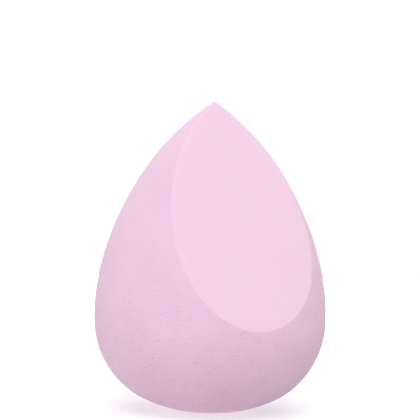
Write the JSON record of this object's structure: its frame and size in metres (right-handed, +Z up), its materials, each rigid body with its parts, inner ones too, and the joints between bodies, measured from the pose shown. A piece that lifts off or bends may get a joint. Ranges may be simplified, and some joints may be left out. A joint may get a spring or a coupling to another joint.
{
  "type": "makeup sponge",
  "caption": "Pale pink teardrop foam sponge with a pointed tip, a round belly and a flat slanted cut on one side, for dabbing and blending liquid makeup.",
  "frame": {"origin": "middle of the flat foot under the round end", "axes": "+Z up along the teardrop's axis to the tip; the slanted cut faces -Y; X runs across, with the same shape on both sides"},
  "size_m": [0.0448, 0.0448, 0.06],
  "materials": {
    "foam": "matte fine-pored polyurethane foam"
  },
  "bodies": {
    "root": {"sponge_body": "foam"}
  },
  "joints": []
}
